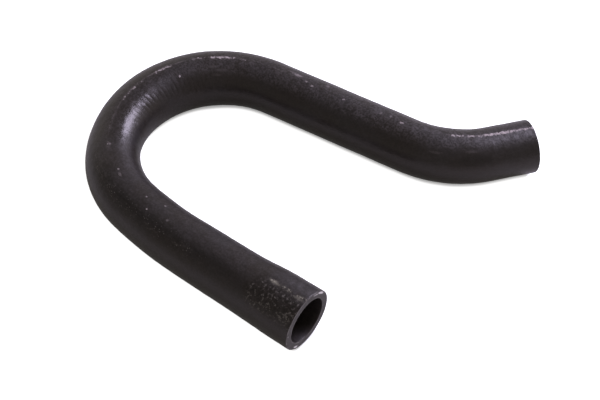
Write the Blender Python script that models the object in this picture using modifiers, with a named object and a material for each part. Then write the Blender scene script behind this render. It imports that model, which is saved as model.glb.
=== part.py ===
"""A moulded air injection hose: one piece of black rubber tube, preformed into a return bend.

The hose lies on its side, on the plane z = 0. Its near leg runs along X, with the mouth facing +X,
and the origin is at the middle of its footprint. Sizes are in metres and angles in degrees.
"""

import math

import bpy
from mathutils import Vector

# Section of the rubber
BODY_DIAMETER = 0.028
WALL = 0.004
MOUTH_ROUNDING = 0.0004

# Centreline, from the near mouth to the far one
NEAR_LEG = 0.068
SWEEP_RADIUS = 0.220
SWEEP_ANGLE = 10.5
RETURN_RADIUS = 0.0535
RETURN_ANGLE = 163.0
FAR_LEG = 0.079
KICK_RADIUS = 0.051
KICK_ANGLE = 46.0
TAIL = 0.023

# The near end is a socket, a little wider than the body, over a pipe of larger diameter
SOCKET_SWELL = 0.00095
SOCKET_LENGTH = 0.012
SOCKET_TAPER = 0.026

# The girth also wanders a little, as it does on a hose cured over a bent mandrel
NEAR_LEG_SWELL = 0.0005
NEAR_LEG_SWELL_LENGTH = 0.040
NEAR_LEG_SWELL_TAPER = 0.070
RETURN_PINCH = 0.0004
RETURN_PINCH_ANGLE = 49.0
RETURN_PINCH_REACH = 0.030
RETURN_SWELL = 0.00055
RETURN_SWELL_ANGLE = 111.0
RETURN_SWELL_REACH = 0.055
TAIL_DRAW = 0.00035
TAIL_LAND = 0.012
TAIL_TAPER = 0.038

# Fineness of the faceted surface
RING_RESOLUTION = 12
STATION_SPACING = 0.010
STATION_TURN = 6.0
ROUNDING_SEGMENTS = 2
ROUNDING_LIMIT = 60.0

RUBBER_COLOUR = (0.030, 0.027, 0.028, 1.0)
RUBBER_ROUGHNESS = 0.55


def clear_scene():
    for item in list(bpy.data.objects):
        bpy.data.objects.remove(item, do_unlink=True)


def make_collection(name):
    collection = bpy.data.collections.new(name)
    bpy.context.scene.collection.children.link(collection)
    return collection


def make_rubber():
    rubber = bpy.data.materials.new("black_rubber")
    rubber.use_nodes = True
    shader = rubber.node_tree.nodes["Principled BSDF"]
    shader.inputs["Base Color"].default_value = RUBBER_COLOUR
    shader.inputs["Roughness"].default_value = RUBBER_ROUGHNESS
    shader.inputs["Metallic"].default_value = 0.0
    return rubber


def bend(radius, degrees):
    """Length and turn of a bend; it turns to the left where its angle is positive."""
    turn = math.radians(degrees)
    return radius * abs(turn), turn


def centreline_runs():
    """Length and turn of each straight and bend, from the near mouth to the far one."""
    return (
        (NEAR_LEG, 0.0),
        bend(SWEEP_RADIUS, -SWEEP_ANGLE),
        bend(RETURN_RADIUS, -RETURN_ANGLE),
        (FAR_LEG, 0.0),
        bend(KICK_RADIUS, KICK_ANGLE),
        (TAIL, 0.0),
    )


def centreline_length():
    return sum(length for length, turn in centreline_runs())


def return_bend_distance(degrees):
    """Distance along the centreline to the place that many degrees round the return bend."""
    sweep_length = bend(SWEEP_RADIUS, SWEEP_ANGLE)[0]
    return NEAR_LEG + sweep_length + bend(RETURN_RADIUS, degrees)[0]


def fall(distance, start, reach):
    """One up to the start, then smoothly down to nought over the reach."""
    part = min(max((distance - start) / reach, 0.0), 1.0)
    return 1.0 - part * part * (3.0 - 2.0 * part)


def hump(distance, middle, reach):
    """One at the middle, and a cosine down to nought at the reach on each side."""
    part = min(abs(distance - middle) / reach, 1.0)
    return (1.0 + math.cos(math.pi * part)) / 2.0


def outer_radius(distance):
    """Radius of the hose's outside at a distance along its centreline."""
    draw_start = centreline_length() - TAIL_LAND - TAIL_TAPER
    return (
        BODY_DIAMETER / 2.0
        + SOCKET_SWELL * fall(distance, SOCKET_LENGTH, SOCKET_TAPER)
        + NEAR_LEG_SWELL * fall(distance, NEAR_LEG_SWELL_LENGTH, NEAR_LEG_SWELL_TAPER)
        - RETURN_PINCH * hump(distance, return_bend_distance(RETURN_PINCH_ANGLE), RETURN_PINCH_REACH)
        + RETURN_SWELL * hump(distance, return_bend_distance(RETURN_SWELL_ANGLE), RETURN_SWELL_REACH)
        - TAIL_DRAW * (1.0 - fall(distance, draw_start, TAIL_TAPER))
    )


def centreline_stations():
    """Distance along the hose and place in plan of each station, run by run.

    Within a run, a station lies at the end of a chord: its heading is turned by half the turn so
    far, and it is shorter than the arc by the sine of that half turn over the half turn.
    """
    distance = 0.0
    start = Vector((0.0, 0.0))
    heading = math.pi
    stations = [(distance, start)]
    for length, turn in centreline_runs():
        steps = max(math.ceil(length / STATION_SPACING), math.ceil(abs(turn) / math.radians(STATION_TURN)))
        for step in range(1, steps + 1):
            part = step / steps
            half_turn = turn * part / 2.0
            shortening = math.sin(half_turn) / half_turn if half_turn else 1.0
            chord = length * part * shortening
            aim = heading + half_turn
            place = start + chord * Vector((math.cos(aim), math.sin(aim)))
            stations.append((distance + length * part, place))
        start = stations[-1][1]
        heading += turn
        distance += length
    return stations


def make_skin_curve():
    """The outer skin as an open tube along the centreline, its whole underside on z = 0."""
    curve = bpy.data.curves.new("hose_skin", "CURVE")
    curve.dimensions = "3D"
    curve.twist_mode = "Z_UP"
    curve.bevel_depth = BODY_DIAMETER / 2.0
    curve.bevel_resolution = RING_RESOLUTION
    stations = centreline_stations()
    spline = curve.splines.new("POLY")
    spline.points.add(len(stations) - 1)
    for point, (distance, place) in zip(spline.points, stations):
        radius = outer_radius(distance)
        point.co = (place.x, place.y, radius, 1.0)
        point.radius = radius / curve.bevel_depth
    skin = bpy.data.objects.new("hose_skin", curve)
    bpy.context.scene.collection.objects.link(skin)
    return skin


def mesh_from_curve(source):
    """A mesh of the curve object as it is evaluated; the curve object is then removed."""
    graph = bpy.context.evaluated_depsgraph_get()
    mesh = bpy.data.meshes.new_from_object(source.evaluated_get(graph))
    bpy.data.objects.remove(source, do_unlink=True)
    return mesh


def add_wall(hose):
    """The wall grows inwards from the skin, so both mouths are flat rings."""
    wall = hose.modifiers.new("wall", "SOLIDIFY")
    wall.thickness = WALL
    wall.offset = -1.0
    wall.use_even_offset = True
    wall.use_quality_normals = True


def round_mouths(hose):
    rounding = hose.modifiers.new("mouth_rounding", "BEVEL")
    rounding.width = MOUTH_ROUNDING
    rounding.segments = ROUNDING_SEGMENTS
    rounding.limit_method = "ANGLE"
    rounding.angle_limit = math.radians(ROUNDING_LIMIT)


def centre_footprint(hose):
    """Moves the hose so that the origin is at the middle of its underside."""
    bpy.context.view_layer.update()
    graph = bpy.context.evaluated_depsgraph_get()
    corners = [Vector(corner) for corner in hose.evaluated_get(graph).bound_box]
    lowest = Vector([min(axis) for axis in zip(*corners)])
    highest = Vector([max(axis) for axis in zip(*corners)])
    middle = (lowest + highest) / 2.0
    hose.location = (-middle.x, -middle.y, -lowest.z)


def make_hose(collection):
    mesh = mesh_from_curve(make_skin_curve())
    mesh.name = "moulded_hose"
    mesh.shade_smooth()
    mesh.set_sharp_from_angle(angle=math.radians(ROUNDING_LIMIT))
    mesh.materials.clear()
    mesh.materials.append(make_rubber())
    hose = bpy.data.objects.new("moulded_hose", mesh)
    collection.objects.link(hose)
    add_wall(hose)
    round_mouths(hose)
    centre_footprint(hose)
    return hose


clear_scene()
make_hose(make_collection("air_injection_hose"))
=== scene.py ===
"""The looks of a moulded air injection hose: black rubber, cured over a bent mandrel, cut square.

The skin is one closed surface of two parameters. The first runs out along the outside of the hose,
round the far mouth's cut, back through the bore and round the near mouth's cut. The second is the
angle round the section, counted from the mould line on top. Sizes are in metres, angles in degrees.
"""

import math

import bpy
import numpy as np
from mathutils import Matrix, Quaternion, Vector


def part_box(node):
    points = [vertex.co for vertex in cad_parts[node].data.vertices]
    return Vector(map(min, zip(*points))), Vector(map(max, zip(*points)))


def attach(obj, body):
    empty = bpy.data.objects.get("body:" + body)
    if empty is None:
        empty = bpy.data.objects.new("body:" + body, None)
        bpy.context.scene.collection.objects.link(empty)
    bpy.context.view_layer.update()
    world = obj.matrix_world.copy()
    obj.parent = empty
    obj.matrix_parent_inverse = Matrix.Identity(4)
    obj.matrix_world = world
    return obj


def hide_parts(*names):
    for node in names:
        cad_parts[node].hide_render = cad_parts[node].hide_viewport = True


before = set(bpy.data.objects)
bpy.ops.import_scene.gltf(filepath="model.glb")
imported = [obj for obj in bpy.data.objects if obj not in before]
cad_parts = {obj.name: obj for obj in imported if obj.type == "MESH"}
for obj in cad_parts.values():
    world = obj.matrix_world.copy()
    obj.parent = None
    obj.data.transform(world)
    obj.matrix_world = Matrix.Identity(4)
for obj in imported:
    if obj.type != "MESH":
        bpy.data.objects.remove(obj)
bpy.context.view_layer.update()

MM = 0.001

# Route and section of the rubber, as moulded
BODY_DIAMETER = 28.0 * MM
WALL = 4.0 * MM
MOUTH_ROUNDING = 0.4 * MM
NEAR_LEG = 68.0 * MM
SWEEP_RADIUS = 220.0 * MM
SWEEP_ANGLE = 10.5
RETURN_RADIUS = 53.5 * MM
RETURN_ANGLE = 163.0
FAR_LEG = 79.0 * MM
KICK_RADIUS = 51.0 * MM
KICK_ANGLE = 46.0
TAIL = 23.0 * MM

# Where the girth leaves the body's, and by how much of the radius
SOCKET_SWELL = 0.95 * MM
SOCKET_LENGTH = 12.0 * MM
SOCKET_TAPER = 26.0 * MM
NEAR_LEG_SWELL = 0.5 * MM
NEAR_LEG_SWELL_LENGTH = 40.0 * MM
NEAR_LEG_SWELL_TAPER = 70.0 * MM
RETURN_PINCH = 0.4 * MM
RETURN_PINCH_ANGLE = 49.0
RETURN_PINCH_REACH = 30.0 * MM
RETURN_SWELL = 0.55 * MM
RETURN_SWELL_ANGLE = 111.0
RETURN_SWELL_REACH = 55.0 * MM
TAIL_DRAW = 0.35 * MM
TAIL_LAND = 12.0 * MM
TAIL_TAPER = 38.0 * MM

# Room that the skin leaves for its own relief, inside the plain solid
SINK = 0.06 * MM

# Rows of the skin: up to each distance along the hose, the spacing of its rows
SKIN_ROWS = (
    (24.0 * MM, 0.40 * MM),
    (150.0 * MM, 1.05 * MM),
    (230.0 * MM, 0.38 * MM),
    (358.0 * MM, 1.05 * MM),
    (1.0, 0.42 * MM),
)
BORE_SPACING = 2.6 * MM
CUT_ROWS = 9
ROUNDING_ROWS = 4
COLUMNS = 112
COLUMN_CROWDING = 0.78

# The mould line: its angle from the top, and how strongly it stands, at distances along the hose
LINE_STOPS = np.array((0.0, 60.0, 130.0, 170.0, 207.0, 237.0, 300.0, 345.0, 361.0, 403.5)) * MM
LINE_ANGLES = np.array((-2.5, -3.0, -3.5, -5.0, -4.0, -2.0, -2.5, -3.5, -5.0, 0.5))
LINE_STANDS = np.array((0.45, 0.10, 0.15, 0.60, 0.90, 0.60, 0.15, 0.20, 0.90, 1.00))
LINE_HEIGHT = 0.14 * MM
LINE_HALF_WIDTH = 0.55 * MM
LINE_EASE = 12.0 * MM
LINE_BREAKS = 9.0 * MM

# The line fades out where the hose is wider than the body by the first of these, over the second.
# Relief may stand above the plain solid only beside the line, within the third, in radians.
LINE_SWELL = 0.4 * MM
LINE_FADE = 1.0 * MM
ROOM_REACH = 0.6

# Where the line is rubbed pale: from, to, and how much
LINE_WORN = (
    (0.0, 5.0, 0.62), (9.0, 13.5, 0.60), (14.5, 20.5, 0.66),
    (138.0, 142.0, 0.42), (150.0, 171.0, 0.30),
    (171.5, 181.0, 0.52), (181.0, 195.0, 0.26), (184.0, 189.0, 0.30), (195.0, 204.0, 0.80),
    (206.0, 209.0, 0.45),
    (216.5, 221.5, 0.62), (225.5, 228.0, 0.80), (229.0, 237.0, 0.95), (238.0, 247.0, 0.36),
    (361.0, 367.0, 0.88), (369.5, 372.0, 0.88), (374.5, 376.5, 0.75), (378.0, 393.0, 1.15),
    (394.5, 403.4, 0.80),
)
WORN_HALF_WIDTH = 1.0 * MM
WORN_EASE = 1.2 * MM

# Ribs that each bend takes from the mandrel: from, to, middle angle, half reach and strength
RIB_PITCH = 2.93 * MM
RIB_DEPTH = 0.090 * MM
RIB_SLANT = 0.12
RIB_VARIES = 7.0 * MM
RIB_BANDS = (
    (156.0 * MM, 222.0 * MM, 50.0, 27.0, 0.9),
    (372.0 * MM, 403.5 * MM, 16.0, 22.0, 0.22),
)
RIB_EASE = 10.0 * MM

# Slow unevenness of the skin, and the finer lumps on it
SWAY = 0.045 * MM
SWAY_SIZE = 24.0 * MM
LUMP = 0.018 * MM
LUMP_SIZE = 4.5 * MM

# The scabbed patch behind the near mouth: its length, the angle of its middle and its half reach
SCAB_LENGTH = 23.0 * MM
SCAB_ANGLE = -31.0
SCAB_REACH = 40.0
SCAB_EASE = 6.0 * MM
SCAB_HEIGHT = 0.05 * MM
SCAB_SIZE = 1.5 * MM

# A blister on the tail: distance along, angle, radius, height
BLISTER = (385.6 * MM, 53.0, 1.1 * MM, 0.16 * MM)

# Strips of the skin, each from, to, middle angle and half reach; first the near leg's dusty band
DUST_BAND = (64.0 * MM, 126.0 * MM, -30.0, 24.0)
DUST_EASE = 16.0 * MM

# A strip and a patch of painted shade, and a shiny strip where the mandrel stretched the skin
PAINTED_SHADE_STRIP = (45.0 * MM, 118.0 * MM, -20.0, 17.0)
PAINTED_SHADE_PATCH = (367.0 * MM, 377.0 * MM, 55.0, 16.0)
SHINY_STRIP = (147.0 * MM, 180.0 * MM, 27.0, 34.0)
STRIP_EASE = 12.0 * MM
PATCH_EASE = 3.0 * MM

# Pale bloom and painted sheen on the tail, beside the mould line
TAIL_BLOOM_AND_SHEEN = (366.0 * MM, 403.5 * MM, 10.0, 24.0)

# The mottled upper zone, which carries the pale bloom and the painted sheen on top, at distances
# along the hose: its two edges, in degrees from the mould line, and how strong it is
ZONE_STOPS = np.array((0.0, 110.0, 150.0, 240.0, 345.0, 403.5)) * MM
ZONE_LOW = np.array((-10.0, -10.0, -42.0, -45.0, -45.0, -40.0))
ZONE_HIGH = np.array((55.0, 52.0, 16.0, 32.0, 27.0, 24.0))
ZONE_STRENGTH = np.array((0.60, 0.60, 0.70, 0.98, 1.12, 1.15))
ZONE_EASE = 16.0

# Knife marks on the two cut faces, and the margin of painted highlight along both edges of each ring
KNIFE_DEPTH = 0.05 * MM
KNIFE_SIZE = 3.2 * MM
MARGIN = 0.75 * MM
MARGIN_EASE = 0.25 * MM

# The materials of the rows: skin, cut and bore meet at this share of the mouth's rounding
SKIN, CUT, BORE = range(3)
MEETING = 0.6


def bend(radius, degrees):
    """Length and turn of a bend; it turns to the left where its angle is positive."""
    turn = math.radians(degrees)
    return radius * abs(turn), turn


RUNS = np.array((
    (NEAR_LEG, 0.0),
    bend(SWEEP_RADIUS, -SWEEP_ANGLE),
    bend(RETURN_RADIUS, -RETURN_ANGLE),
    (FAR_LEG, 0.0),
    bend(KICK_RADIUS, KICK_ANGLE),
    (TAIL, 0.0),
))
RUN_STARTS = np.concatenate(([0.0], np.cumsum(RUNS[:, 0])))
LENGTH = float(RUN_STARTS[-1])


def return_bend_distance(degrees):
    """Distance along the centreline to the place that many degrees round the return bend."""
    return float(RUN_STARTS[2]) + bend(RETURN_RADIUS, degrees)[0]


def fall(value, start, reach):
    """One up to the start, then down to nought over the reach as 1 - p^2 (3 - 2 p)."""
    part = np.clip((value - start) / reach, 0.0, 1.0)
    return 1.0 - part * part * (3.0 - 2.0 * part)


def hump(value, middle, reach):
    """One at the middle, and half a cosine down to nought at the reach on each side."""
    part = np.minimum(np.abs(value - middle) / reach, 1.0)
    return (1.0 + np.cos(np.pi * part)) / 2.0


def band(value, low, high, ease):
    """One between low and high, easing in before low and out after high."""
    return (1.0 - fall(value, low - ease, ease)) * fall(value, high, ease)


def outer_radius(along):
    """Radius of the plain hose: the body's, plus a socket, a slow taper, a pinch, a swell and a draw."""
    draw_start = LENGTH - TAIL_LAND - TAIL_TAPER
    return (
        BODY_DIAMETER / 2.0
        + SOCKET_SWELL * fall(along, SOCKET_LENGTH, SOCKET_TAPER)
        + NEAR_LEG_SWELL * fall(along, NEAR_LEG_SWELL_LENGTH, NEAR_LEG_SWELL_TAPER)
        - RETURN_PINCH * hump(along, return_bend_distance(RETURN_PINCH_ANGLE), RETURN_PINCH_REACH)
        + RETURN_SWELL * hump(along, return_bend_distance(RETURN_SWELL_ANGLE), RETURN_SWELL_REACH)
        - TAIL_DRAW * (1.0 - fall(along, draw_start, TAIL_TAPER))
    )


def route(along):
    """Place in plan and heading at each distance along the hose.

    Within a run, the place is its start plus a chord: the chord's heading is turned by half the
    turn so far, and it is shorter than the arc by the sine of that half turn over the half turn.
    """
    lengths, turns = RUNS.T
    headings = np.pi + np.concatenate(([0.0], np.cumsum(turns)[:-1]))

    def chord(length, heading, turn):
        reach = length * np.sinc(turn / 2.0 / np.pi)
        aim = heading + turn / 2.0
        return np.stack((reach * np.cos(aim), reach * np.sin(aim)), axis=-1)

    ends = np.cumsum(chord(lengths, headings, turns), axis=0)
    starts = np.concatenate((np.zeros((1, 2)), ends[:-1]))
    run = np.clip(np.searchsorted(RUN_STARTS, along, side="right") - 1, 0, len(lengths) - 1)
    part = (along - RUN_STARTS[run]) / lengths[run]
    place = starts[run] + chord(lengths[run] * part, headings[run], turns[run] * part)
    return place, headings[run] + turns[run] * part


def wander(place, size, seed):
    """Smooth random unevenness of about unit swing: forty cosines of random direction and phase."""
    count = 40
    random = np.random.default_rng(seed)
    direction = random.normal(size=(count, 3))
    direction /= np.linalg.norm(direction, axis=1)[:, None]
    rate = 2.0 * np.pi / size * random.uniform(0.6, 1.5, count)[:, None]
    phase = random.uniform(0.0, 2.0 * np.pi, count)
    waves = place @ (direction * rate).T.astype(np.float32) + phase.astype(np.float32)
    return np.cos(waves).sum(axis=-1) * math.sqrt(2.0 / count)


def line_at(along, values):
    """The mould line's values at its stops, joined by straight lines and averaged over its ease."""
    shifts = np.linspace(-LINE_EASE, LINE_EASE, 9)
    return np.mean([np.interp(along + shift, LINE_STOPS, values) for shift in shifts], axis=0)


def closed_profile():
    """Distance along and depth into the wall of each row, once round the wall's section.

    The rows run out along the skin, round the far mouth's outer edge by a quarter turn, down its
    cut, round its inner edge, back along the bore, and the same way round the near mouth.
    """
    ends = np.array([min(row[0], LENGTH - MOUTH_ROUNDING) for row in SKIN_ROWS])
    starts = np.concatenate(([MOUTH_ROUNDING], ends[:-1]))
    counts = [math.ceil((end - start) / row[1]) for start, end, row in zip(starts, ends, SKIN_ROWS)]
    skin = np.concatenate([
        np.linspace(start, end, count, endpoint=False)
        for start, end, count in zip(starts, ends, counts)
    ])
    quarter = np.linspace(0.0, np.pi / 2.0, ROUNDING_ROWS + 1)
    cut = np.linspace(MOUTH_ROUNDING, WALL - MOUTH_ROUNDING, CUT_ROWS + 2)[1:-1]
    back = np.concatenate((1.0 - np.sin(quarter), np.zeros(CUT_ROWS), 1.0 - np.cos(quarter)))
    back = back * MOUTH_ROUNDING
    deep = np.concatenate((
        MOUTH_ROUNDING * (1.0 - np.cos(quarter)),
        cut,
        WALL - MOUTH_ROUNDING * (1.0 - np.sin(quarter)),
    ))
    bore_count = math.ceil((LENGTH - 2.0 * MOUTH_ROUNDING) / BORE_SPACING)
    bore = np.linspace(LENGTH - MOUTH_ROUNDING, MOUTH_ROUNDING, bore_count + 1)[1:-1]
    along = np.concatenate((skin[1:], LENGTH - back, bore, back[::-1]))
    depth = np.concatenate((np.zeros(len(skin) - 1), deep, np.full(len(bore), WALL), deep[::-1]))
    return along, depth


def ribs(along, turned, radius, uneven):
    """Depth of the mandrel's ribs, from nought on their lands to one in their grooves.

    Each band is a raised cosine of the distance along, slanted with the distance round and drifting
    a little out of step, cubed so that the grooves are narrower than the lands, and faded towards
    the band's ends and edges.
    """
    lean = along - RIB_SLANT * radius * turned
    drift = 0.35 * np.sin(2.0 * np.pi * along / (RIB_PITCH * 7.3)) + 0.5 * np.sin(2.0 * turned)
    wave = (1.0 + np.cos(2.0 * np.pi * lean / RIB_PITCH + drift)) / 2.0
    uneven = np.clip(0.65 + 0.35 * uneven, 0.15, 1.2)
    depth = np.zeros_like(wave)
    for low, high, middle, reach, strength in RIB_BANDS:
        fade = band(along, low, high, RIB_EASE) * hump(np.degrees(turned), middle, reach)
        depth = depth + strength * fade * uneven * wave**3
    return depth


def blister(along, turned, radius):
    """A round blister: a cosine hump over the distance from its middle."""
    middle, angle, reach, height = BLISTER
    aside = (turned - math.radians(angle)) * radius
    return height * hump(np.hypot(along - middle, aside), 0.0, reach)


def strip(along, degrees, place, ease):
    """One in the middle of a strip: a band of the distance along, times a hump of the angle."""
    low, high, middle, reach = place
    return band(along, low, high, ease) * hump(degrees, middle, reach)


def mould_line(along, turned, plain, straight):
    """How far the line stands, from nought to one, and how much of it is rubbed pale.

    Both are bells over the distance aside of the line. The first is times how the line stands at
    that distance along, broken up by slow unevenness, and the second times the rubbed stretches.
    """
    aside = turned * plain
    across = np.exp(-((aside / LINE_HALF_WIDTH) ** 2))
    stands = line_at(along, LINE_STANDS)[:, None]
    broken = np.clip(0.62 + 0.38 * wander(straight, LINE_BREAKS, 5), 0.0, 1.0)
    s = along[:, None]
    worn = sum(part * band(s, low * MM, high * MM, WORN_EASE) for low, high, part in LINE_WORN)
    return across * stands * broken, worn * np.exp(-((aside / WORN_HALF_WIDTH) ** 2))


def mottled_zone(s, degrees):
    """How mottled the skin is, and how strongly it blooms with painted sheen: a band between the zone's
    two edges, times its strength.
    """
    low, high, strength = (
        np.interp(s, ZONE_STOPS, values) for values in (ZONE_LOW, ZONE_HIGH, ZONE_STRENGTH)
    )
    return band(degrees, low, high, ZONE_EASE) * strength


def placed(along, angle, plain, outward, inward):
    """Each point, from its angle, its distance from the centreline and its push along the hose.

    A point is its centreline's place, plus that distance times the direction at its angle from the
    top, plus the push times the hose's heading.
    """
    place, heading = route(along)
    forward = np.stack((np.cos(heading), np.sin(heading), np.zeros_like(heading)), axis=-1)
    side = np.stack((np.sin(heading), -np.cos(heading), np.zeros_like(heading)), axis=-1)
    centre = np.concatenate((place, plain), axis=-1)
    up = np.array((0.0, 0.0, 1.0))
    around = np.cos(angle)[..., None] * up + np.sin(angle)[..., None] * side[:, None, :]
    points = centre[:, None, :] + outward[..., None] * around
    points += inward[..., None] * forward[:, None, :]
    return points


def hose_surface():
    """Every point of the hose and the masks that its finishes read, as arrays of rows by columns.

    A point's distance from the centreline is the plain hose's radius, less the depth into the wall,
    plus the relief. The columns crowd towards the mould line, as angle = t - crowding * sin t, and
    swing with it.
    """
    along, depth = closed_profile()
    step = np.linspace(-np.pi, np.pi, COLUMNS, endpoint=False)
    turned = (step - COLUMN_CROWDING * np.sin(step))[None, :]
    swing = np.radians(line_at(along, LINE_ANGLES))[:, None] * (1.0 + np.cos(turned)) / 2.0
    plain = (outer_radius(along) - SINK)[:, None]
    inner = plain - depth[:, None]
    s = along[:, None]
    straight = np.stack(np.broadcast_arrays(s, inner * np.cos(turned), inner * np.sin(turned)), -1)
    straight = straight.astype(np.float32)

    skin = fall(depth, 0.0, MOUTH_ROUNDING)[:, None]
    bore = 1.0 - fall(depth, WALL - MOUTH_ROUNDING, MOUTH_ROUNDING)[:, None]
    cut = 1.0 - np.maximum(skin, bore)
    degrees = np.degrees(turned)
    ridge, wear = mould_line(along, turned, plain, straight)
    grooves = ribs(s, turned, plain, wander(straight, RIB_VARIES, 7)) * skin
    scab = band(s, 0.0, SCAB_LENGTH, SCAB_EASE) * hump(degrees, SCAB_ANGLE, SCAB_REACH)

    relief = (
        SWAY * wander(straight, SWAY_SIZE, 1)
        + LUMP * wander(straight, LUMP_SIZE, 2)
        + LINE_HEIGHT * ridge * fall(plain, BODY_DIAMETER / 2.0 + LINE_SWELL, LINE_FADE)
        - RIB_DEPTH * grooves
        + SCAB_HEIGHT * scab * np.clip(wander(straight, SCAB_SIZE, 3), -0.5, 1.0)
        + blister(s, turned, plain)
    ) * skin + SWAY * wander(straight, SWAY_SIZE, 4) * bore
    room = fall(plain, BODY_DIAMETER / 2.0, LINE_FADE) * fall(np.abs(turned), ROOM_REACH, ROOM_REACH)
    relief = np.minimum(relief, SINK + LINE_HEIGHT * room)
    knife = KNIFE_DEPTH * cut * (1.0 + np.clip(wander(straight, KNIFE_SIZE, 6), -1.0, 1.0)) / 2.0
    inward = np.where(s < LENGTH / 2.0, knife, -knife)
    points = placed(along, turned + swing, plain, inner + relief, inward)

    masks = {
        "wear": wear * skin,
        "crest": ridge * skin,
        "grooves": grooves,
        "scab": scab * skin,
        "dust": strip(s, degrees, DUST_BAND, DUST_EASE) * skin,
        # Painted highlight along both edges of each cut ring
        "edge": 1.0 - band(depth, MARGIN, WALL - MARGIN, MARGIN_EASE)[:, None],
        "painted_shade": strip(s, degrees, PAINTED_SHADE_STRIP, STRIP_EASE) + strip(s, degrees, PAINTED_SHADE_PATCH, PATCH_EASE),
        "shiny": strip(s, degrees, SHINY_STRIP, STRIP_EASE),
        "tail_bloom_and_sheen": strip(s, degrees, TAIL_BLOOM_AND_SHEEN, STRIP_EASE),
        "upper": mottled_zone(s, degrees),
    }
    meeting = MOUTH_ROUNDING * MEETING
    zone = np.where(depth < meeting, SKIN, np.where(depth < WALL - meeting, CUT, BORE))
    return points, straight, masks, zone


def centred(points):
    """The points moved so that their box stands in the middle of the plain solid's footprint."""
    low, high = (np.array(corner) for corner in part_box("moulded_hose"))
    flat = points.reshape(-1, 3)
    shift = (low + high) / 2.0 - (flat.min(axis=0) + flat.max(axis=0)) / 2.0
    shift[2] = low[2] - flat[:, 2].min()
    return points + shift


def grid_mesh(name, points, attributes, zone, materials):
    """A closed mesh of rows by columns, both running round; a face takes its row's material."""
    rows, columns = points.shape[:2]
    index = np.arange(rows * columns).reshape(rows, columns)
    below = np.roll(index, -1, axis=0)
    faces = np.stack((index, np.roll(index, -1, axis=1), np.roll(below, -1, axis=1), below), axis=-1)
    faces = faces.reshape(-1, 4)
    mesh = bpy.data.meshes.new(name)
    mesh.vertices.add(rows * columns)
    mesh.vertices.foreach_set("co", points.astype(np.float32).ravel())
    mesh.loops.add(faces.size)
    mesh.loops.foreach_set("vertex_index", faces.astype(np.int32).ravel())
    mesh.polygons.add(len(faces))
    mesh.polygons.foreach_set("loop_start", np.arange(0, faces.size, 4, dtype=np.int32))
    for material in materials:
        mesh.materials.append(material)
    mesh.polygons.foreach_set("material_index", np.repeat(zone, columns).astype(np.int32))
    mesh.polygons.foreach_set("use_smooth", np.ones(len(faces), dtype=bool))
    for title, values in attributes.items():
        kind, key = ("FLOAT_VECTOR", "vector") if values.ndim == 3 else ("FLOAT", "value")
        layer = mesh.attributes.new(title, kind, "POINT")
        full = np.broadcast_to(values, points.shape[: values.ndim])
        layer.data.foreach_set(key, full.astype(np.float32).ravel())
    mesh.update(calc_edges=True)
    mesh.validate()
    return mesh


class Wire:
    """An output in a node tree. Arithmetic on it adds Math nodes."""

    def __init__(self, tree, socket=None):
        self.tree = tree
        self.socket = socket

    def node(self, kind, settings=None, sockets=None, out=0):
        """Adds a node: its settings are set first, then the values or links of its sockets."""
        made = self.tree.nodes.new(kind)
        for key, value in (settings or {}).items():
            setattr(made, key, value)
        for key, value in (sockets or {}).items():
            if isinstance(value, Wire):
                self.tree.links.new(value.socket, made.inputs[key])
            else:
                made.inputs[key].default_value = value
        return Wire(self.tree, made.outputs[out] if made.outputs else None)

    def math(self, operation, *values):
        return self.node("ShaderNodeMath", {"operation": operation}, dict(enumerate(values)))

    def __add__(self, other):
        return self.math("ADD", self, other)

    def __sub__(self, other):
        return self.math("SUBTRACT", self, other)

    def __rsub__(self, other):
        return self.math("SUBTRACT", other, self)

    def __mul__(self, other):
        return self.math("MULTIPLY", self, other)

    def __truediv__(self, other):
        return self.math("DIVIDE", self, other)

    def __pow__(self, other):
        return self.math("POWER", self, other)

    __radd__ = __add__
    __rmul__ = __mul__


def attribute(start, name, out="Fac"):
    return start.node("ShaderNodeAttribute", {"attribute_name": name}, out=out)


def stretched(place, along, round_about):
    """The place with its distance along and its place round divided by these sizes."""
    return place.node(
        "ShaderNodeVectorMath",
        {"operation": "MULTIPLY"},
        {0: place, 1: (1.0 / along, 1.0 / round_about, 1.0 / round_about)},
    )


def noise(place, size, detail=2.0, roughness=0.5):
    """Cloudy noise from nought to one, with clouds of about that size."""
    sockets = {"Vector": place, "Scale": 1.0 / size, "Detail": detail, "Roughness": roughness}
    return place.node("ShaderNodeTexNoise", sockets=sockets)


def ease(value, low, high, start=0.0, end=1.0):
    """From start to end as the value goes from low to high, smoothly."""
    sockets = {0: value, 1: low, 2: high, 3: start, 4: end}
    return value.node("ShaderNodeMapRange", {"interpolation_type": "SMOOTHSTEP"}, sockets)


def specks(place, size, share, radius):
    """One in round specks of that radius, in that share of random cells of that size."""
    sockets = {"Vector": place, "Scale": 1.0 / size, "Randomness": 1.0}
    cells = place.node("ShaderNodeTexVoronoi", {"feature": "F1"}, sockets)
    colour = Wire(place.tree, cells.socket.node.outputs["Color"])
    chance = colour.node("ShaderNodeSeparateColor", sockets={0: colour})
    reach = radius / size
    return ease(cells, reach * 0.4, reach, 1.0, 0.0) * ease(chance, share, share * 0.8)


def blend(factor, first, second):
    """The first colour where the factor is nought, and the second where it is one."""
    sockets = {0: factor, 6: first, 7: second}
    return factor.node("ShaderNodeMix", {"data_type": "RGBA"}, sockets, out=2)


def shaded(colour, amount):
    """The colour times an amount."""
    settings = {"data_type": "RGBA", "blend_type": "MULTIPLY"}
    return amount.node("ShaderNodeMix", settings, {0: 1.0, 6: colour, 7: amount}, out=2)


def new_material(name):
    material = bpy.data.materials.new(name)
    material.use_nodes = True
    material.node_tree.nodes.clear()
    return material, Wire(material.node_tree)


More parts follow.
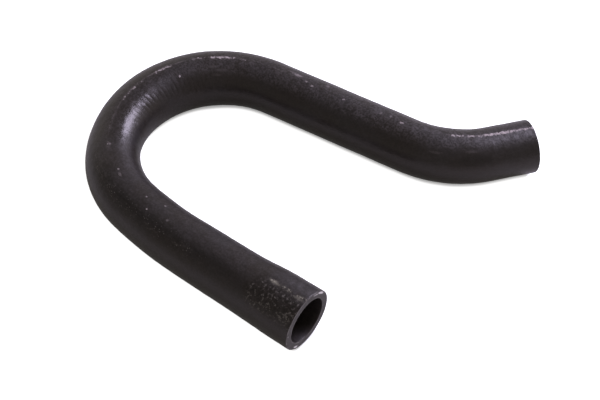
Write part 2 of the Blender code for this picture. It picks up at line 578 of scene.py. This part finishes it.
RUBBER_IOR = 1.5
SHEEN_TINT = (1.0, 0.93, 0.89, 1.0)
BROWN_BLACK = (0.0104, 0.0075, 0.0062, 1.0)
COOL_BLACK = (0.0138, 0.0118, 0.0122, 1.0)
# Pale bloom colour, which also stands in for painted sheen on the upper side
BLOOM_AND_SHEEN = (0.088, 0.077, 0.082, 1.0)
SCUFF = (0.46, 0.395, 0.40, 1.0)
OLIVE = (0.36, 0.335, 0.27, 1.0)
DUST = (0.27, 0.25, 0.235, 1.0)
CUT_GREY = (0.034, 0.030, 0.031, 1.0)
CUT_PALE_AND_RIM_HIGHLIGHT = (0.25, 0.233, 0.238, 1.0)
BORE_BLACK = (0.019, 0.0155, 0.0145, 1.0)
GLINT_WHITE = (0.85, 0.82, 0.84, 1.0)

# Sizes of the skin's patterns, from its clouds down to its grain; a streak has a length and a width
CLOUD = 17.0 * MM
PATCH = 4.5 * MM
MOTTLE = 2.4 * MM
FLECK = 1.5 * MM
TEAR = 1.25 * MM
GRAIN = 0.95 * MM
STREAK = (9.0 * MM, 1.1 * MM)

# Specks of dust: size of their cells, share of the cells that hold one, and radius
FINE_SPECKS = (0.80 * MM, 0.26, 0.30 * MM)
SPARSE_SPECKS = (3.4 * MM, 0.10, 0.34 * MM)

# Sizes of the patterns on the cuts and in the bore
GRIT = 0.8 * MM
DRAG = 4.5 * MM
BORE_STREAK = (14.0 * MM, 1.3 * MM)
BORE_MOTTLE = 3.0 * MM

# Depth of the finest relief on each
SKIN_DEPTH = 0.085 * MM
CUT_DEPTH = 0.06 * MM
BORE_DEPTH = 0.05 * MM


def finish_material(start, colour, rough, height, depth):
    """Principled rubber with this colour and roughness, and a relief of this height and depth."""
    normal = height.node("ShaderNodeBump", sockets={"Strength": 1.0, "Distance": depth, "Height": height})
    shader = start.node("ShaderNodeBsdfPrincipled", sockets={
        "Base Color": colour,
        "Roughness": rough,
        "Normal": normal,
        "IOR": RUBBER_IOR,
        "Specular Tint": SHEEN_TINT,
    })
    start.node("ShaderNodeOutputMaterial", sockets={"Surface": shader})


# Scuffs and specks, listed one by one: distance along, angle from the mould line, half length,
# half width and strength
MARKS = (
    (4.0, -4.0, 3.0, 0.8, 0.30),
    (17.6, 0.0, 3.4, 1.1, 0.42),
    (80.8, -5.0, 0.8, 0.8, 0.25),
    (88.0, 19.0, 0.7, 0.6, 0.45),
    (93.1, -11.5, 0.6, 0.5, 1.00),
    (98.8, 8.0, 0.7, 0.6, 1.00),
    (118.5, 2.0, 1.6, 0.7, 0.25),
    (122.0, 5.0, 0.6, 0.6, 0.55),
    (140.4, 3.0, 1.2, 0.8, 0.35),
    (205.6, 31.5, 0.7, 0.7, 1.00),
    (226.0, 24.0, 3.0, 0.8, 0.07),
    (231.0, 32.0, 4.5, 0.9, 0.07),
    (228.0, 42.0, 3.4, 0.8, 0.06),
    (272.5, -9.5, 3.2, 1.3, 0.45),
    (269.0, -12.0, 2.4, 0.8, 0.18),
    (278.8, 0.0, 1.0, 0.7, 0.50),
    (282.9, 5.0, 1.3, 0.7, 0.50),
    (290.0, -13.0, 1.4, 1.3, 0.25),
    (301.7, 4.5, 0.7, 0.8, 0.85),
    (322.5, 0.5, 0.8, 1.0, 0.25),
    (328.0, -2.0, 0.7, 1.0, 0.30),
    (334.6, 3.0, 1.3, 0.7, 0.70),
    (355.0, 44.0, 3.2, 0.8, 0.08),
    (370.0, 37.0, 3.4, 0.9, 0.08),
)

# The same marks, with half widths as half angles
ROUND_MARKS = [
    (distance, angle, length, math.degrees(width * MM / (BODY_DIAMETER / 2.0)), strength)
    for distance, angle, length, width, strength in MARKS
]

# Painted glints on the near mouth's cut: angle, radius, half angle, half width and strength
PAINTED_GLINTS = (
    (30.0, 14.0, 10.0, 0.45, 0.55),
    (47.0, 14.4, 13.0, 0.75, 1.00),
    (-143.0, 13.9, 8.5, 0.70, 1.00),
    (-78.0, 14.0, 3.0, 0.50, 0.25),
)


def round_the_hose(place):
    """From the straightened hose's place: distance along, degrees from the line, up and aside."""
    along = place.node("ShaderNodeSeparateXYZ", sockets={0: place})
    upward = Wire(place.tree, along.socket.node.outputs["Y"])
    sideways = Wire(place.tree, along.socket.node.outputs["Z"])
    degrees = upward.math("ARCTAN2", sideways, upward) * (180.0 / math.pi)
    return along, degrees, upward, sideways


def ellipses(ragged, first, second, spots):
    """The greatest of some soft ellipses: middles, half widths and strengths on two values."""
    found = None
    for middle, other, half, other_half, strength in spots:
        far = (first - middle) / half
        wide = (second - other) / other_half
        spot = ease(far * far + wide * wide + ragged, 0.15, 1.0, strength, 0.0)
        found = spot if found is None else found.math("MAXIMUM", found, spot)
    return found


def skin_rubber():
    """Cured skin: brown-black with cooler clouds; a mottled pale blooming that is partly painted sheen
    and painted light on top; painted shade in a strip, a patch and the rib grooves; dust, a worn line and
    scuffs.
    """
    material, start = new_material("skin_rubber")
    place = attribute(start, "straight", "Vector")
    along, degrees, upward = round_the_hose(place)[:3]
    clouds = noise(place, CLOUD, 3.0)
    mottle = noise(place, MOTTLE, 4.0, 0.62)
    grain = noise(place, GRAIN, 3.0, 0.6)
    streaks = noise(stretched(place, *STREAK), 1.0, 3.0)

    top = attribute(start, "upper")
    coarse = ease(top, 0.5, 1.1, 0.55, 1.0)
    colour = blend(ease(clouds, 0.38, 0.66), BROWN_BLACK, COOL_BLACK)
    uneven = (ease(mottle * 0.55 + grain * 0.45, 0.36, 0.64) - 0.5) * 0.8
    colour = shaded(colour, 1.0 + uneven * coarse)
    # Painted shade: the colour darkens in a strip along the near leg and in a patch on the tail
    colour = shaded(colour, 1.0 - attribute(start, "painted_shade") * 0.6)
    # Pale bloom and painted sheen on the tail, in mottled patches beside the mould line
    tail_bloom_and_sheen = attribute(start, "tail_bloom_and_sheen") * ease(mottle, 0.38, 0.62, 0.1, 0.9)
    patches = ease(noise(place, PATCH, 5.0, 0.7), 0.34, 0.72, 0.2, 0.75)
    # Painted light: the higher up the hose, the paler the skin
    painted_top_light = ease(upward, -0.006, 0.012, 0.0, 0.22)
    stipple = 0.33 + ease(grain, 0.42, 0.60, -0.23, 0.27) * coarse
    # Pale bloom and painted sheen: patches in the upper zone, painted light on top and the tail's sheen
    bloom_and_sheen = (top * patches + painted_top_light + tail_bloom_and_sheen * 0.18) * stipple
    colour = blend(bloom_and_sheen, colour, BLOOM_AND_SHEEN)

    scab = ease(attribute(start, "scab"), 0.0, 0.55)
    dust = attribute(start, "dust")
    flecks = ease(noise(place, FLECK, 3.0, 0.62), 0.53, 0.63) * ease(grain, 0.40, 0.54, 0.3, 1.0)
    fine = specks(place, *FINE_SPECKS)
    powder = ease(streaks, 0.50, 0.74) * ease(mottle, 0.40, 0.68)
    sparse = specks(place, *SPARSE_SPECKS) * ease(clouds, 0.42, 0.58)
    gaps = scab * ease(grain, 0.52, 0.42) + dust * ease(streaks, 0.46, 0.34) * 0.8
    colour = shaded(colour, 1.0 - gaps.math("MINIMUM", gaps, 1.0) * 0.5)
    dusty = flecks * 0.44 * scab + (fine * 0.55 + powder * 0.20) * dust
    dusty = dusty + sparse * top * 0.30
    colour = blend(dusty.math("MINIMUM", dusty, 1.0), colour, DUST)

    wear = attribute(start, "wear")
    torn = noise(place, TEAR, 4.0, 0.7)
    worn = ease(wear + (torn - 0.5) * 3.0, 0.50, 1.05) * ease(wear, 0.06, 0.30)
    ragged = (grain - 0.5) * 4.5
    rubbed = ellipses(ragged, along / MM, degrees, ROUND_MARKS)
    worn = worn * ease(grain, 0.35, 0.65, 0.45, 1.0) + wear * ease(torn, 0.40, 0.55) * 0.16
    pale = worn.math("MAXIMUM", worn, rubbed * 0.8)
    pale = pale.math("MAXIMUM", pale, ease(attribute(start, "crest"), 0.22, 0.60) * 0.13)
    colour = blend(pale, colour, blend(ease(along, 0.03, 0.10), OLIVE, SCUFF))

    grooves = attribute(start, "grooves")
    # Painted shade in the rib grooves: the colour is darker where they are deep
    colour = shaded(colour, 1.0 - grooves * 0.45)
    rough = ease(clouds, 0.3, 0.7, 0.34, 0.38) + (mottle - 0.5) * 0.18 + bloom_and_sheen * 0.15 + pale * 0.2
    rough = rough - attribute(start, "shiny") * 0.11
    height = grain * 0.5 + mottle * 0.9 + streaks * 0.4 + pale * 0.5 + dusty * 0.5
    finish_material(start, colour, rough, height, SKIN_DEPTH)
    return material


def cut_rubber():
    """Knife-cut rubber: duller, with painted highlights along both edges of the ring, drag marks and
    painted glints.
    """
    material, start = new_material("cut_rubber")
    place = attribute(start, "straight", "Vector")
    along, degrees, upward, sideways = round_the_hose(place)
    radius = (upward * upward + sideways * sideways) ** 0.5
    grit = noise(place, GRIT, 4.0, 0.65)
    drag = noise(place, DRAG, 2.0)
    # Painted highlight along both edges of the ring, broken up by the drag marks
    edge = attribute(start, "edge") * ease(drag, 0.36, 0.60, 0.35, 1.0)
    colour = blend(ease(grit, 0.40, 0.70) * 0.14 + edge * 0.55, CUT_GREY, CUT_PALE_AND_RIM_HIGHLIGHT)
    colour = shaded(colour, ease(drag, 0.3, 0.7, 0.75, 1.2))
    # Painted glints on the near mouth's cut
    glints = ellipses((grit - 0.5) * 1.2, degrees, radius / MM, PAINTED_GLINTS)
    glints = glints * ease(along, 0.1, 0.05)
    colour = blend(glints, colour, GLINT_WHITE)
    rough = 0.52 + (grit - 0.5) * 0.2
    finish_material(start, colour, rough, grit + drag, CUT_DEPTH)
    return material


def bore_rubber():
    """The bore: deep black, with faint lengthwise streaks from the mandrel."""
    material, start = new_material("bore_rubber")
    place = attribute(start, "straight", "Vector")
    streaks = noise(stretched(place, *BORE_STREAK), 1.0, 3.0)
    mottle = noise(place, BORE_MOTTLE, 3.0)
    colour = shaded(BORE_BLACK, ease(mottle, 0.3, 0.7, 0.75, 1.3))
    rough = 0.46 + (streaks - 0.5) * 0.2
    finish_material(start, colour, rough, streaks + mottle * 0.6, BORE_DEPTH)
    return material


def make_hose():
    points, straight, masks, zone = hose_surface()
    materials = (skin_rubber(), cut_rubber(), bore_rubber())
    attributes = {"straight": straight, **masks}
    mesh = grid_mesh("hose_skin", centred(points), attributes, zone, materials)
    hose = bpy.data.objects.new("hose_skin", mesh)
    bpy.context.scene.collection.objects.link(hose)
    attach(hose, "root")
    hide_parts("moulded_hose")
    return hose


# The camera: where it looks from, in degrees round from the front and up, and how far off
VIEW_AZIMUTH = 37.25
VIEW_ELEVATION = 49.093
VIEW_ROLL = 0.43
VIEW_DISTANCE = 0.64123
VIEW_TARGET = Vector((0.011997, -0.008897, 0.0))
LENS = 76.648
SENSOR_WIDTH = 36.0


def direction(azimuth, elevation):
    """The direction from the middle towards that azimuth and elevation, in degrees."""
    turn, rise = math.radians(azimuth), math.radians(elevation)
    return Vector((math.sin(turn) * math.cos(rise), -math.cos(turn) * math.cos(rise), math.sin(rise)))


def add_camera():
    """The camera's axes: back from the target, right along the floor, and up square to both, rolled."""
    back = direction(VIEW_AZIMUTH, VIEW_ELEVATION)
    turn = math.radians(VIEW_AZIMUTH)
    level = Vector((math.cos(turn), math.sin(turn), 0.0))
    upright = back.cross(level)
    roll = math.radians(VIEW_ROLL)
    right = level * math.cos(roll) + upright * math.sin(roll)
    up = back.cross(right)
    lens = bpy.data.cameras.new("view")
    lens.sensor_fit = "HORIZONTAL"
    lens.sensor_width = SENSOR_WIDTH
    lens.lens = LENS
    lens.clip_start = 0.01
    camera = bpy.data.objects.new("view", lens)
    bpy.context.scene.collection.objects.link(camera)
    turned = Matrix((right, up, back)).transposed().to_4x4()
    camera.matrix_world = Matrix.Translation(VIEW_TARGET + back * VIEW_DISTANCE) @ turned
    bpy.context.scene.camera = camera


KEY_AZIMUTH = 165.0
KEY_ELEVATION = 38.5
KEY_DISTANCE = 1.2
KEY_WIDTH = 0.50
KEY_HEIGHT = 0.74
KEY_ROLL = 42.0
KEY_LEVEL = 3.5
KEY_COLOUR = (0.77, 0.745, 1.0)


def add_key():
    """A rolled oblong lamp aimed at the middle; its power is its irradiance there * pi * distance^2."""
    light = bpy.data.lights.new("key", "AREA")
    light.shape = "RECTANGLE"
    light.size = KEY_WIDTH
    light.size_y = KEY_HEIGHT
    light.color = KEY_COLOUR
    light.energy = KEY_LEVEL * math.pi * KEY_DISTANCE**2
    lamp = bpy.data.objects.new("key", light)
    bpy.context.scene.collection.objects.link(lamp)
    towards = direction(KEY_AZIMUTH, KEY_ELEVATION)
    lamp.location = towards * KEY_DISTANCE
    roll = Quaternion((0.0, 0.0, 1.0), math.radians(KEY_ROLL))
    lamp.rotation_euler = (towards.to_track_quat("Z", "Y") @ roll).to_euler()


WHITE = (1.0, 1.0, 1.0, 1.0)
FILL_TINT = (1.06, 0.985, 0.935, 1.0)
FILL_LEVEL = 0.295

# Where the fill differs from its level: azimuth, elevation, reach and change
FILL_CHANGES = (
    (140.0, 4.0, 52.0, 0.38),
    (245.0, 4.0, 42.0, 0.34),
    (314.0, 46.0, 40.0, -0.10),
    (345.0, 14.0, 36.0, 0.05),
)


def seen_directly(start):
    """One for a ray from the camera or through something clear, and nought for any other."""
    path = start.node("ShaderNodeLightPath", out="Is Camera Ray")
    clear = Wire(start.tree, path.socket.node.outputs["Is Transmission Ray"])
    return path.math("MAXIMUM", path, clear)


def add_world():
    """White where the camera looks past the floor, and else a fill that is brighter low behind."""
    world = bpy.data.worlds.new("studio")
    world.use_nodes = True
    world.node_tree.nodes.clear()
    start = Wire(world.node_tree)
    seen = seen_directly(start)
    way = start.node("ShaderNodeTexCoord", out="Generated")
    level = FILL_LEVEL
    for azimuth, elevation, reach, change in FILL_CHANGES:
        sockets = {0: way, 1: direction(azimuth, elevation)}
        aim = way.node("ShaderNodeVectorMath", {"operation": "DOT_PRODUCT"}, sockets, "Value")
        level = level + ease(aim, math.cos(math.radians(reach)), 1.0, 0.0, change)
    colour = blend(seen, shaded(FILL_TINT, level), WHITE)
    background = start.node("ShaderNodeBackground", sockets={"Color": colour, "Strength": 1.0})
    start.node("ShaderNodeOutputWorld", sockets={"Surface": background})
    bpy.context.scene.world = world


FLOOR_HALF = 4.0
FLOOR_GREY = (0.72, 0.69, 0.66, 1.0)
FLOOR_PALE = (0.90, 0.90, 0.90, 1.0)
FLOOR_GLOW = 0.95
FLOOR_SHEEN = 0.09
SHADE_REACH = 0.0026
SHADE_DEPTH = 0.62


def add_floor():
    """A pale floor. The camera sees it lifted to white, and less so close under the hose.

    Glossy rays see a part of that lift too, so that the hose's lower sides show the pale floor.
    """
    material, start = new_material("pale_floor")
    seen = seen_directly(start)
    colour = blend(seen, FLOOR_GREY, FLOOR_PALE)
    plain = start.node("ShaderNodeBsdfDiffuse", sockets={"Color": colour})
    nearby = start.node("ShaderNodeAmbientOcclusion", sockets={"Distance": SHADE_REACH}, out="AO")
    lift = ease(nearby, 0.40, 0.98, FLOOR_GLOW - SHADE_DEPTH, FLOOR_GLOW)
    glossy = start.node("ShaderNodeLightPath", out="Is Glossy Ray")
    level = seen * lift + glossy * FLOOR_SHEEN
    glow = start.node("ShaderNodeEmission", sockets={"Color": shaded(WHITE, level), "Strength": 1.0})
    both = start.node("ShaderNodeAddShader", sockets={0: plain, 1: glow})
    start.node("ShaderNodeOutputMaterial", sockets={"Surface": both})
    mesh = bpy.data.meshes.new("floor")
    corners = [(x * FLOOR_HALF, y * FLOOR_HALF, 0.0) for x, y in ((-1, -1), (1, -1), (1, 1), (-1, 1))]
    mesh.from_pydata(corners, [], [(0, 1, 2, 3)])
    mesh.materials.append(material)
    floor = bpy.data.objects.new("floor", mesh)
    bpy.context.scene.collection.objects.link(floor)


make_hose()
add_camera()
add_key()
add_world()
add_floor()
bpy.context.scene.view_settings.view_transform = "Standard"
